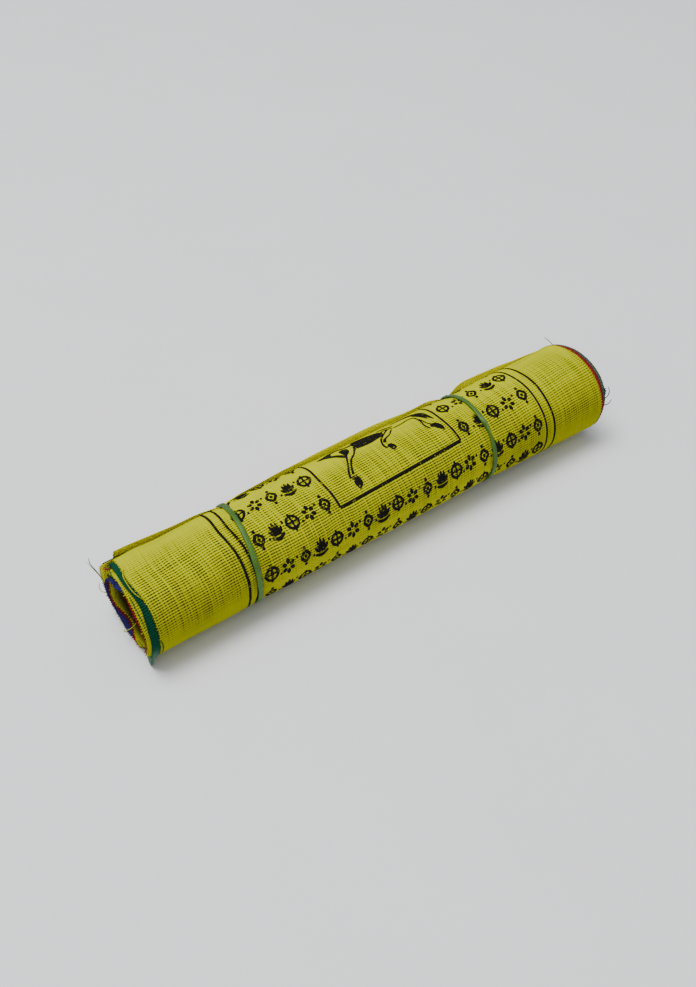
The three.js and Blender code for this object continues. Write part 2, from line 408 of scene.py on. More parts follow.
    def flag_point(self, order: int, along: Array, wound: Array, out: Array | float = 0.0) -> Array:
        """A point on a wound flag.

        Args:
            order: the flag's place in the stack.
            along: distance from the left end.
            wound: how far the flag has been followed from the free edge.
            out: how far it is lifted off its place.

        Returns:
            The points, as along, back and up.
        """
        angle = self.edge_angle(along) - wound
        start = self.outside(along, angle)
        end = self.core(along, angle)
        wall = np.hypot(end[0] - start[0], end[1] - start[1])
        share = self.depth(order, along, wound, wall) / wall
        if order == 0:
            out = out + self.standing(along, wound)
        outer = self.outside(along, angle, -out)
        back = outer[0] + (end[0] - start[0]) * share
        up = outer[1] + (end[1] - start[1]) * share
        return np.stack(np.broadcast_arrays(along, back, up), -1)

    def standing(self, along: Array, wound: Array) -> Array:
        """How far the outer flag's first stretch stands off: its free edge rises in a curve."""
        loose = 0.25
        share = np.clip(1.0 - wound / self.free_edge_reach, 0.0, 1.0)
        return loose * eased(share * 3.0) + self.edge_lift(along) * share**1.7


def max_of(arrays: list[Array]) -> Array:
    """The largest of several arrays, place by place."""
    return np.maximum.reduce(arrays)


ROLL = Roll()


# Finishes.


@dataclass(frozen=True)
class Finish:
    """What a piece is made of: a real material, and how its surface was made."""

    name: str

    def look(self, g: Graph) -> dict[str, Socket | Row | float]:
        """The inputs of the material's shader, by name."""
        raise NotImplementedError

    def material(self) -> bpy.types.Material:
        """The material, which is built the first time that it is asked for."""
        if made := bpy.data.materials.get(self.name):
            return made
        g = Graph(self.name)
        g.add("OutputMaterial", {"Surface": g.add("BsdfPrincipled", self.look(g))})
        return g.material


@dataclass(frozen=True)
class WovenCotton(Finish):
    """Coarse plain-woven cotton, dyed in the piece: round ribs along the roll, loosely beaten.

    The eye gets a matte cloth with a rib every 0.95 mm, broken by finer threads across it, with
    dark specks of painted shade where the weave is open, and thick and thin threads.
    """

    light: str
    # The colour of the painted shade in the weave's gaps.
    dark: str
    # The painted brighter colour where light shines through the cloth.
    painted_backlight: str
    # The colour of the painted shade deep in the core and on the roll's lower side.
    deep: str = "1e1804"
    rib_mm: float = 0.95
    pick_mm: float = 1.12

    def look(self, g: Graph) -> dict[str, Socket | Row | float]:
        """Matte cloth with raised threads, which light shines through where it is single: by subsurface
        light, and by a painted brighter colour.
        """
        threads = self.weave(g)
        lit = g.add("Attribute", output="Fac", attribute_name="lit_through")
        bump = {"Strength": 0.75, "Distance": 0.22 * MM, "Height": threads["height"]}
        return {
            "Base Color": self.colours(g, threads, lit),
            "Normal": g.add("Bump", bump),
            "Roughness": 0.9,
            "Specular IOR Level": 0.02,
            "Subsurface Weight": g.add("Math", (lit, 0.7), operation="MULTIPLY"),
            "Subsurface Radius": (1.0, 1.0, 0.25),
            "Subsurface Scale": 0.6 * MM,
        }

    def weave(self, g: Graph) -> dict[str, Socket]:
        """Draws the threads: ribs and picks are both the absolute sine of their own count.

        Args:
            g: the material that is being made.

        Returns:
            The place on the flag, the height of the threads, the painted shade between them and how
            thick each rib is.
        """
        flag = g.add("UVMap", uv_map=FLAG_MAP)
        drift = g.add("TexNoise", {"Vector": flag, "Scale": 0.06, "Detail": 2.0}, noise_dimensions="2D")
        waver = g.add("TexNoise", {"Vector": flag, "Scale": 0.35, "Detail": 1.0}, noise_dimensions="2D")
        down = g.add("Math", (drift, 1.3, g.add("SeparateXYZ", (flag,), "Y")), operation="MULTIPLY_ADD")
        down = g.add("Math", (waver, 0.24, down), operation="MULTIPLY_ADD")
        across = g.add("Math", (waver, 0.9, g.add("SeparateXYZ", (flag,), "X")), operation="MULTIPLY_ADD")
        high, low = [], []
        for place, spacing in ((down, self.rib_mm), (across, self.pick_mm)):
            wave = g.add("Math", (place, np.pi / spacing), operation="MULTIPLY")
            wave = g.add("Math", (wave,), operation="SINE")
            high.append(g.add("Math", (wave,), operation="ABSOLUTE"))
            low.append(g.add("Math", (1.0, high[-1]), operation="SUBTRACT"))
        uneven = []
        for scale, detail in (((0.035, 1.05, 1.0), 3.0), ((0.9, 0.05, 1.0), 2.0)):
            drawn_out = g.add("Mapping", {"Vector": flag, "Scale": scale})
            noise = {"Vector": drawn_out, "Scale": 1.0, "Detail": detail}
            uneven.append(g.add("TexNoise", noise, noise_dimensions="2D"))
        slub, reed = uneven
        limits = {"From Min": 0.35, "From Max": 0.7, "To Min": 0.55, "To Max": 1.35}
        loose = g.add("MapRange", {"Value": reed, **limits})
        # How strong the painted shade in the weave's gaps is, from place to place.
        gap_shade_strength = g.add("Attribute", output="Fac", attribute_name="gap_shade")
        loose = g.add("Math", (gap_shade_strength, loose), operation="MULTIPLY")
        crossing = g.add("Math", (low[1], 0.75, 0.5), operation="MULTIPLY_ADD")
        gaps = g.add("Math", (low[0], crossing), operation="MULTIPLY")
        height = g.add("Math", (high[0], 0.7), operation="MULTIPLY")
        height = g.add("Math", (high[1], 0.3, height), operation="MULTIPLY_ADD")
        return {
            "flag": flag,
            "height": g.add("Math", (slub, 0.5, height), operation="MULTIPLY_ADD"),
            "gaps": g.add("Math", (gaps, loose), operation="MULTIPLY"),
            "slub": slub,
        }

    def colours(self, g: Graph, threads: dict[str, Socket], lit: Socket) -> Socket:
        """The dye, uneven from thread to thread, with painted shade in the gaps, a painted brighter colour
        where light shines through, and painted shade deep in the core and under the roll.

        Args:
            g: the material that is being made.
            threads: what weave() drew.
            lit: where light shines through.

        Returns:
            The colour.
        """
        blotch = {"Vector": threads["flag"], "Scale": 0.045, "Detail": 4.0}
        blotch = g.add("Math", (g.add("TexNoise", blotch, noise_dimensions="2D"), 0.5), operation="MULTIPLY")
        uneven = g.add("Math", (threads["slub"], 0.5, blotch), operation="MULTIPLY_ADD")
        limits = {"From Min": 0.3, "From Max": 0.7, "To Min": -0.16, "To Max": 0.2}
        uneven = g.add("MapRange", {"Value": uneven, **limits})
        # Painted shade in the weave's gaps, lessened or deepened by the dye's unevenness.
        shade = g.add("Math", (threads["gaps"], 1.8), operation="MULTIPLY")
        shade = g.add("Math", (shade, uneven), operation="SUBTRACT")
        # Painted shade deep in the core and on the outer flag's lower side.
        painted_shade_share = g.add("Attribute", output="Fac", attribute_name="painted_shade")
        painted_shade_share = g.add("Math", (painted_shade_share, 0.96), operation="MULTIPLY")
        colour = linear(self.light)
        # The dye, then a painted brighter colour where light shines through, painted shade in the gaps and
        # painted shade deep in the core.
        for share, other in ((lit, self.painted_backlight), (shade, self.dark), (painted_shade_share, self.deep)):
            colour = g.add("Mix", {0: share, 6: colour, 7: linear(other)}, 2, data_type="RGBA")
        return colour


@dataclass(frozen=True)
class BlockPrintedCotton(WovenCotton):
    """Black block-print ink in the same cloth: it sits on the ribs and misses some of the gaps."""

    ink: str = "191814"

    def colours(self, g: Graph, threads: dict[str, Socket], lit: Socket) -> Socket:
        """The ink over the dye: thin in patches of about 2 mm, and thinner on the highest threads.

        Args:
            g: the material that is being made.
            threads: what weave() drew.
            lit: where light shines through.

        Returns:
            The colour.
        """
        dye = super().colours(g, threads, lit)
        patches = {"Vector": threads["flag"], "Scale": 0.5, "Detail": 3.0}
        patches = g.add("TexNoise", patches, noise_dimensions="2D")
        thin = g.add("Math", (threads["height"], 0.35, patches), operation="MULTIPLY_ADD")
        limits = {"From Min": 0.98, "From Max": 1.2, "To Min": 0.0, "To Max": 0.55}
        bare = g.add("MapRange", {"Value": thin, **limits})
        return g.add("Mix", {0: bare, 6: linear(self.ink), 7: dye}, 2, data_type="RGBA")


@dataclass(frozen=True)
class CottonYarn(Finish):
    """A loose cotton thread: matte, twisted every 0.6 mm, with paler and darker stretches."""

    colour: str
    dark: str

    def look(self, g: Graph) -> dict[str, Socket | Row | float]:
        """Matte yarn, its twist drawn by place and raised."""
        place = g.add("TexCoord", (), "Object")
        ply = {"Vector": place, "Scale": 500.0, "Distortion": 2.0}
        twist = g.add("TexWave", ply, bands_direction="DIAGONAL")
        noise = g.add("TexNoise", {"Vector": place, "Scale": 900.0, "Detail": 2.0})
        shade = g.add("Math", (noise, 0.9, -0.3), operation="MULTIPLY_ADD")
        shade = g.add("Math", (twist, 0.35, shade), operation="MULTIPLY_ADD")
        shades = {0: shade, 6: linear(self.colour), 7: linear(self.dark)}
        return {
            "Base Color": g.add("Mix", shades, 2, data_type="RGBA"),
            "Normal": g.add("Bump", {"Strength": 0.5, "Distance": 0.1 * MM, "Height": twist}),
            "Roughness": 0.9,
            "Specular IOR Level": 0.05,
            "Sheen Weight": 0.02,
        }


@dataclass(frozen=True)
class NaturalRubber(Finish):
    """A cut rubber band: green and satin, with faint marks of the cutting and specks of pale bloom."""

    colour: str
    pale: str
    dark: str

    def look(self, g: Graph) -> dict[str, Socket | Row | float]:
        """Satin rubber, cloudy over 5 mm, with specks of about 0.4 mm."""
        place = g.add("TexCoord", (), "Object")
        cloudy = g.add("TexNoise", {"Vector": place, "Scale": 180.0, "Detail": 4.0})
        specks = g.add("TexNoise", {"Vector": place, "Scale": 2400.0, "Detail": 2.0})
        shade = g.add("MapRange", {"Value": cloudy, "From Min": 0.35, "From Max": 0.7})
        limits = {"From Min": 0.6, "From Max": 0.75, "To Max": 0.45}
        bloom = g.add("MapRange", {"Value": specks, **limits})
        colour = linear(self.colour)
        for share, other in ((shade, self.dark), (bloom, self.pale)):
            colour = g.add("Mix", {0: share, 6: colour, 7: linear(other)}, 2, data_type="RGBA")
        return {
            "Base Color": colour,
            "Normal": g.add("Bump", {"Strength": 0.25, "Distance": 0.06 * MM, "Height": specks}),
            "Roughness": 0.5,
            "Specular IOR Level": 0.3,
        }


@dataclass(frozen=True)
class PaintedBoard(Finish):
    """A pale tabletop, painted matte: almost even, with a faint cloudiness 60 mm across."""

    colour: str

    def look(self, g: Graph) -> dict[str, Socket | Row | float]:
        """Matte paint, a little lighter and darker from place to place."""
        place = g.add("TexCoord", (), "Object")
        cloud = g.add("TexNoise", {"Vector": place, "Scale": 16.0, "Detail": 3.0})
        value = g.add("MapRange", {"Value": cloud, "To Min": 0.97, "To Max": 1.03})
        tint = g.add("HueSaturation", {"Value": value, "Color": linear(self.colour)})
        return {"Base Color": tint, "Roughness": 0.8}


class Dye(Enum):
    """The colours of the flags, each as light, dark (for the yarn's darker stretches and the painted shade in
    the weave's gaps), and a painted brighter colour where light shines through.
    """

    YELLOW = ("b8 bb 08", "2a 30 00", "ee e4 26")
    GREEN = ("0e 44 30", "04 1c 12", "5e 7c 6c")
    BLUE = ("2a 26 62", "0a 0a 2c", "34 34 84")
    RED = ("84 1c 28", "38 06 0e", "b8 30 3c")
    WHITE = ("c8 c8 b4", "7a 7a 6a", "d4 d4 c4")

    @property
    def word(self) -> str:
        """The colour's name in small letters."""
        return self.name.lower()

    @property
    def slot(self) -> str:
        """The record's material slot for cloth of this colour."""
        return ("yellow" if self is Dye.WHITE else self.word) + "_cotton"

    def shades(self) -> list[str]:
        """The three shades as plain hex digits."""
        return [shade.replace(" ", "") for shade in self.value]

    def cloth(self) -> bpy.types.Material:
        """Woven cotton of this colour."""
        return WovenCotton(f"{self.word}_woven_cotton", *self.shades()).material()

    def print(self) -> bpy.types.Material:
        """Woven cotton of this colour with ink in it."""
        return BlockPrintedCotton(f"{self.word}_cotton_with_block_print_ink", *self.shades()).material()

    def yarn(self) -> bpy.types.Material:
        """Loose yarn of this colour."""
        return CottonYarn(f"{self.word}_cotton_yarn", *self.shades()[:2]).material()


# The flags.


@dataclass(frozen=True)
class Edge:
    """Where a flag's side edge lies along the roll: in the first turn and in the turns inside it.

    The inner turns draw back at the front of the left end, so that the open core shows, as far as
    an angle under the roll.
    """

    first: float
    inner: float
    bulges: tuple[Bulge, ...] = ()
    drawn_back: float = 0.0
    back_until: float = 256.0
    inner_bulges: tuple[Bulge, ...] = ()

    def place(self, angle: Array, wound: Array) -> Array:
        """Where the edge lies.

        Args:
            angle: angle round the roll.
            wound: how far the flag has been followed.

        Returns:
            Distances from the roll's left end.
        """
        first, inner = (
            start + sum(size * bell(turned_from(angle, at), reach) for size, at, reach in bulges)
            for start, bulges in ((self.first, self.bulges), (self.inner, self.inner_bulges))
        )
        inner = inner + self.drawn_back * between(angle % TURN, 80.0, 30.0, self.back_until - 28.0, 28.0)
        ripple = 0.12 * sin_deg(wound * 3.1) + 0.08 * sin_deg(wound * 7.7 + 40)
        second_turn = eased((wound - 345.0) / 50.0)
        return first + (inner - first) * second_turn + ripple


@dataclass
class Flag:
    """One flag, 200 by 240 mm, wound with the others.

    Its free edge lies "start" degrees past the outer flag's. Where it stands out of the roll it
    wavers by its flutter. "frayed" holds the side edges with yarn ends, 0 for the left one and 1 for
    the right one, and "fray" how far the yarn ends reach.
    """

    dye: Dye
    order: int
    left: Edge
    right: Edge
    start: float
    flutter: float = 0.0
    height: float = 240.0
    row_mm: float = 1.9
    column_mm: float = 5.0
    cloth_mm: float = 0.1
    droop: bool = False
    frayed: Row = (0.0, 1.0)
    fray: tuple[float, float] = (0.2, 0.5)
    label: str = ""

    @property
    def name(self) -> str:
        """The piece's name."""
        return f"{self.dye.word}_flag_{self.label}"

    def windings(self) -> tuple[Array, Array]:
        """Follows the flag at the roll's middle.

        Returns:
            Angles wound and the length of cloth up to each, as fine steps to the flag's end.
        """
        most, step = 3.6 * TURN, 2.0
        wound = np.arange(self.start, self.start + most, step)
        line = ROLL.flag_point(self.order, np.full_like(wound, ROLL.length / 2), wound)
        steps = np.linalg.norm(np.diff(line, axis=0), axis=1)
        length = np.concatenate([[0.0], np.cumsum(steps)])
        return wound, length

    def wound_at(self, length: Array) -> Array:
        """How far the roll has been wound at lengths of cloth from the free edge."""
        wound, lengths = self.windings()
        return np.interp(length, lengths, wound)

    def columns(self) -> Array:
        """Shares across the flag, closer together near the bands and the ends."""
        reach, least = 9.0, 0.3
        even = np.arange(0.0, ROLL.length + 0.1, self.column_mm)
        close = [np.arange(-reach, reach + 0.1, self.column_mm / 2.5) + band.along for band in ROLL.bands]
        ends = np.array([0.6, 1.4, 2.4, 3.6])
        every = np.sort(np.concatenate([even, *close, ends, ROLL.length - ends]))
        kept = np.concatenate([[True], np.diff(every) > least])
        return every[kept] / ROLL.length

    def place(self, across: Array, wound: Array) -> tuple[Array, Array]:
        """Where a place on the cloth lies along the roll, and how far it is wound there."""
        angle = ROLL.edge_angle(across * ROLL.length) - wound
        left = self.left.place(angle, wound)
        if self.order == 0:  # the free corner is drawn in
            left = left + ROLL.free_corner * (1.0 - eased((wound - 20.0) / 20.0))
        along = left + (self.right.place(angle, wound) - left) * across
        followed = wound + (ROLL.tuck(along) if self.order else 0.0)
        return along, followed

    def points(self, across: Array, wound: Array, out: Array | float = 0.0) -> Array:
        """Points of the cloth.

        The stretch that stands out of the roll's end is free, so it wavers, and the front corner
        of a drooping flag hangs to the ground: its reach down grows with the distance out of the
        roll and is largest at one angle.

        Args:
            across: shares across the flag.
            wound: how far the flag has been followed.
            out: how far off the cloth.

        Returns:
            The points, as along, back and up.
        """
        along, wound = self.place(across, wound)
        angle = ROLL.edge_angle(along) - wound
        beyond = eased(np.maximum(-along, along - ROLL.length) / 3.0)
        waver = self.flutter * beyond * (sin_deg(3 * angle + 50) + 0.5 * sin_deg(5 * angle))
        spot = ROLL.flag_point(self.order, along, wound, out + waver)
        up, ground = spot[..., 2], 0.25
        spot[..., 2] = up + (np.minimum(up, ground) - up) * self.hanging(along, angle, wound)
        return spot

    def hanging(self, along: Array, angle: Array, wound: Array) -> Array:
        """How far a drooping flag's front corner hangs down: 1 where it touches the ground."""
        if not self.droop:
            return np.zeros(np.broadcast(along, angle, wound).shape)
        limp, stands_out, first_turn = 0.94, 2.8, wound < 300.0
        near = between(angle % TURN, 194.0, 34.0, 230.0, 9.0)
        return limp * first_turn * np.clip(-along / stands_out, 0.0, 1.0) ** 1.6 * near**1.3

    def build(self) -> bpy.types.Object:
        """Makes the flag: rows at equal lengths of cloth, columns across it."""
        length = np.arange(0.0, self.height + 0.01, self.row_mm)
        wound = self.wound_at(length)[:, None]
        across = self.columns()[None, :]
        points = self.points(across, wound)
        rows, columns = points.shape[:2]
        flag_map = np.stack(np.broadcast_arrays(across * ROLL.length, length[:, None]), -1)
        values = {name: number.ravel() for name, number in self.shading(across, wound).items()}
        faces = grid_faces(rows, columns)
        surface = Surface(points.reshape(-1, 3), faces, flag_map.reshape(-1, 2), values)
        return surface.piece(self.name, self.dye.cloth(), self.dye.slot, self.cloth_mm)

    def shading(self, across: Array, wound: Array) -> dict[str, Array]:
        """What the cloth's finish reads from place to place.

        Args:
            across: shares across the flag.
            wound: how far the flag has been followed.

        Returns:
            A number for each point of the cloth, under each name that the finish reads.
        """
        along, followed = self.place(across, wound)
        where = (along, (ROLL.edge_angle(along) - followed) % TURN, followed)
        parts = {"lit_through": self.lit_through, "gap_shade": self.gap_shade, "painted_shade": self.painted_shade}
        return {name: part(*where) for name, part in parts.items()}

    def lit_through(self, along: Array, angle: Array, followed: Array) -> Array:
        """How much light shines through, as subsurface light and a painted brighter colour: at the free edge,
        and where a flag stands out or hangs.
        """
        flap = eased(1.6 * np.clip(1.0 - followed / (ROLL.free_edge_reach * 0.9), 0.0, 1.0))
        tucked = eased((75.0 - followed) / 30.0) * eased((1.0 - along) / 3.0)
        rim = 0.4 * eased((along - ROLL.length - 0.4) / 0.8)
        low = 0.5 * between(angle, 180.0, 25.0, 236.0, 16.0) * eased(-along)
        single = {0: flap, 2: rim + low, 9: tucked}.get(self.order, 0.0 * along)
        return single + 0.5 * self.hanging(along, angle, followed)

    def gap_shade(self, along: Array, angle: Array, followed: Array) -> Array:
        """How strong the painted shade in the weave's gaps is: most over the round of the roll, less towards
        its right end.
        """
        round_top = between(angle, 62.0, 42.0, 152.0, 38.0)
        fainter_at_right = 1.0 - 0.28 * eased((along - 155.0) / 20.0)
        return 0.12 + 0.84 * round_top * eased((followed - 30.0) / 20.0) * fainter_at_right

    def painted_shade(self, along: Array, angle: Array, followed: Array) -> Array:
        """Painted shade: the cloth is darkened deep inside the open core, and on the outer flag's lower side,
        more at its ends.
        """
        mouth = eased((along + 3.6) / 3.8) * (1.0 - 0.45 * eased((along - 3.0) / 10.0))
        ends = 1.0 - between(along, 35.0, 25.0, 135.0, 25.0)
        # Painted shade on the outer flag's lower side, stronger towards the roll's ends.
        below = (0.14 + 0.2 * ends) * eased((angle - 105.0) / 60.0) * (self.order == 0)
        return eased((followed - 380.0) / 120.0) * mouth + below

    def yarn_ends(self) -> bpy.types.Object:
        """The cut ends of the ribs along the side edges that show: a flat tapered tuft for each rib."""
        pitch = WovenCotton.rib_mm
        at = np.arange(pitch, self.height - pitch, pitch)
        tufts = []
        for side in self.frayed:
            chance = np.random.default_rng(11 + int(side) + 10 * self.order)
            reach = chance.uniform(*self.fray, len(at)) + self.fray[1] * (chance.random(len(at)) > 0.96)
            lean = chance.normal(0.0, 0.13, len(at))
            lift = chance.normal(0.0, 0.05, len(at))
            tufts.append(self.row_of_tufts(side, at, reach, lean, lift))
        made = Surface.join(tufts)
        return made.piece(f"{self.name}_yarn_ends", self.dye.yarn(), self.dye.slot)

    def row_of_tufts(self, side: float, at: Array, reach: Array, lean: Array, lift: Array) -> Surface:
        """Tufts along one side edge.

        Each is a small block with eight corners. It starts 0.3 mm inside the edge, is 0.52 mm wide
        there and narrows to 0.2 mm at its tip.

        Args:
            side: 0 for the left edge and 1 for the right one.
            at: lengths of cloth at the middle of each tuft.
            reach: how far each stands out.
            lean: how far each tip is turned along the edge.
            lift: how far each tip is lifted off the cloth.

        Returns:
            The blocks as one surface.
        """
        outwards, inside, root, end = 2.0 * side - 1.0, 0.3, 0.26, 0.1
        steps = np.array([(x, w, h) for x in (0, 1) for w in (-1, 1) for h in (-1, 1)], float)
        tip, wide, high = steps[:, 0][None], steps[:, 1][None], steps[:, 2][None]
        half = root - (root - end) * tip
        length = at[:, None] + wide * half + lean[:, None] * tip
        across = side + outwards * (tip * reach[:, None] - inside * (1 - tip)) / ROLL.length
        out = -0.05 + high * (0.11 - 0.05 * tip) + lift[:, None] * tip
        points = self.points(across, self.wound_at(length), out)
        block = np.array([(0, 1, 3, 2), (4, 6, 7, 5), (0, 4, 5, 1), (2, 3, 7, 6), (0, 2, 6, 4), (1, 5, 7, 3)])
        if side < 0.5:
            block = block[:, ::-1]
        faces = (block[None] + 8 * np.arange(len(at))[:, None, None]).reshape(-1, 4)
        flag_map = np.stack(np.broadcast_arrays(across * ROLL.length, length), -1)
        return Surface(points.reshape(-1, 3), faces, flag_map.reshape(-1, 2))


def flag_stack() -> list[Flag]:
    """The ten flags from the outside in, as they lie on each other.

    Returns:
        The flags. The left and right edges say how far the flags have slid along each other.
    """
    outer_left = Edge(0.3, 1.5, ((-0.6, 92.0, 20.0), (0.7, 142.0, 28.0)), 0.4)
    green_bulges = ((0.9, 62.0, 26.0), (1.3, 122.0, 28.0), (-0.4, 208.0, 18.0), (2.2, 258.0, 17.0))
    green_left = Edge(-2.8, 0.5, green_bulges, 0.4)
    outer_right = Edge(199.6, 197.0, ((-0.5, 206.0, 22.0),))
    blue_right = Edge(201.2, 197.0, ((2.2, 167.0, 8.0), (-1.4, 205.0, 24.0)))
    green_right = Edge(202.3, 196.5, ((0.4, 140.0, 40.0), (-1.9, 208.0, 26.0)))
    red_right = Edge(201.0, 197.0, ((0.2, 130.0, 40.0), (-1.0, 208.0, 24.0)))
    blue_inner = Edge(1.5, -4.1, (), 3.9, 282.0, ((0.9, 300.0, 44.0),))
    red_bulges = ((2.0, 298.0, 21.0), (2.6, 236.0, 16.0), (0.9, 92.0, 32.0))
    red_inner = Edge(1.0, -3.3, (), -0.75, 262.0, red_bulges)
    lining_bulges = ((0.9, 85.0, 32.0), (-0.4, 190.0, 28.0), (2.2, 250.0, 27.0), (0.6, 300.0, 34.0))
    lining_left = Edge(-3.6, -2.9, lining_bulges, 2.3, 256.0, ((2.4, 300.0, 24.0),))
    last = (1.0,)
    fine = {"row_mm": 0.95, "column_mm": 2.0}
    return [
        Flag(Dye.YELLOW, 0, outer_left, outer_right, 0.0, label="outside", **fine),
        Flag(Dye.RED, 1, Edge(1.6, 1.0), red_right, 16.0, 0.1, frayed=last, label="second"),
        Flag(Dye.GREEN, 2, green_left, green_right, 8.0, 0.12, droop=True, fray=(0.02, 0.14), label="third"),
        Flag(Dye.BLUE, 3, Edge(1.6, 0.2), blue_right, 24.0, 0.15, frayed=last, label="fourth"),
        Flag(Dye.WHITE, 4, Edge(2.0, 0.0, (), 0.6), Edge(199.0, 196.0), 28.0, frayed=(), label="fifth"),
        Flag(Dye.WHITE, 5, Edge(2.5, 0.2, (), 0.4), Edge(198.5, 196.0), 32.0, frayed=(), label="sixth"),
        Flag(Dye.GREEN, 6, Edge(2.0, -0.4, (), 1.0), Edge(198.5, 196.5), 36.0, frayed=(), label="seventh"),
        Flag(Dye.BLUE, 7, blue_inner, Edge(198.0, 196.0), 30.0, 0.3, label="eighth"),
        Flag(Dye.RED, 8, red_inner, Edge(198.0, 195.5), 20.0, 0.3, label="ninth"),
        Flag(Dye.YELLOW, 9, lining_left, Edge(197.5, 195.0), 5.0, 0.2, label="inside"),
    ]


# The print.


@dataclass(frozen=True)
class Stroke:
    """One brush stroke on the outer flag: points across and from the free edge, and widths."""

    points: tuple[tuple[float, float], ...]
    widths: Row

    def surface(self, flag: Flag, height: float) -> Surface:
        """Lays the stroke on the cloth.

        The stroke is a smooth curve through its points, cut into steps of about 0.7 mm. Its width
        follows the given widths and closes in a half circle at both ends.

        Args:
            flag: the flag that it is printed on.
            height: how far its top lies off the cloth.

        Returns:
            A grid of points along and across the stroke.
        """
        step, lane, thinnest = 0.7, 0.8, 0.02
        curve, _ = smooth_curve(self.points, 24)
        steps = np.linalg.norm(np.diff(curve, axis=0), axis=1)
        run = np.concatenate([[0.0], np.cumsum(steps)])
        count = max(4, int(np.ceil(run[-1] / step)))
        ends = 0.5 - 0.5 * np.cos(np.linspace(0.0, np.pi, 5))[1:-1]
        cap = min(max(self.widths) / 2, run[-1] / 3)
        at = np.unique(np.concatenate([np.linspace(0, run[-1], count), ends * cap, run[-1] - ends * cap]))
        middle = np.stack([np.interp(at, run, curve[:, k]) for k in (0, 1)], -1)
        slope = np.gradient(middle, at, axis=0)
        slope /= np.linalg.norm(slope, axis=1, keepdims=True)
        wide = np.interp(at / run[-1], np.linspace(0, 1, len(self.widths)), self.widths) / 2
        from_end = np.minimum(at, run[-1] - at) / cap
        wide = wide * np.sqrt(1.0 - (1.0 - np.clip(from_end, thinnest, 1.0)) ** 2)
        lanes = np.linspace(-1.0, 1.0, 2 + int(max(self.widths) / lane))
        normal = np.stack([-slope[:, 1], slope[:, 0]], -1)
        spots = middle[:, None, :] + normal[:, None, :] * (wide[:, None] * lanes[None, :])[..., None]
        points = flag.points(spots[..., 0] / ROLL.length, flag.wound_at(spots[..., 1]), height)
        return Surface(points.reshape(-1, 3), grid_faces(len(at), len(lanes)), spots.reshape(-1, 2))


def smooth_curve(points: tuple[Row, ...], fineness: int) -> tuple[Array, Array]:
    """A smooth curve through points.

    Each stretch is a cubic that leaves and arrives with the slope between the neighbours on
    either side.

    Args:
        points: the points, evenly spaced in their share of the curve.
        fineness: how many steps each stretch is cut into.

    Returns:
        The points of the curve, and each one's share of it from 0 to 1.
    """
    knots = np.array(points, float)
    at = np.linspace(0.0, 1.0, len(knots))
    share = np.linspace(0.0, 1.0, fineness * (len(knots) - 1) + 1)
    slope = np.gradient(knots, at, axis=0)
    k = np.clip(np.searchsorted(at, share, side="right") - 1, 0, len(at) - 2)
    wide = (at[k + 1] - at[k])[:, None]
    t = (share - at[k])[:, None] / wide
    curve = (
        (1 + 2 * t) * (1 - t) ** 2 * knots[k]
        + t * (1 - t) ** 2 * wide * slope[k]
        + t * t * (3 - 2 * t) * knots[k + 1]
        + t * t * (t - 1) * wide * slope[k + 1]
    )
    return curve, share


def dot(u: float, v: float, width: float) -> Stroke:
    """A round dot."""
    return Stroke(((u - 0.45 * width, v), (u + 0.45 * width, v)), (width,))


def straight(start: tuple[float, float], end: tuple[float, float], width: float) -> Stroke:
    """A straight stroke of one width."""
    middle = ((start[0] + end[0]) / 2, (start[1] + end[1]) / 2)
    return Stroke((start, middle, end), (width,))


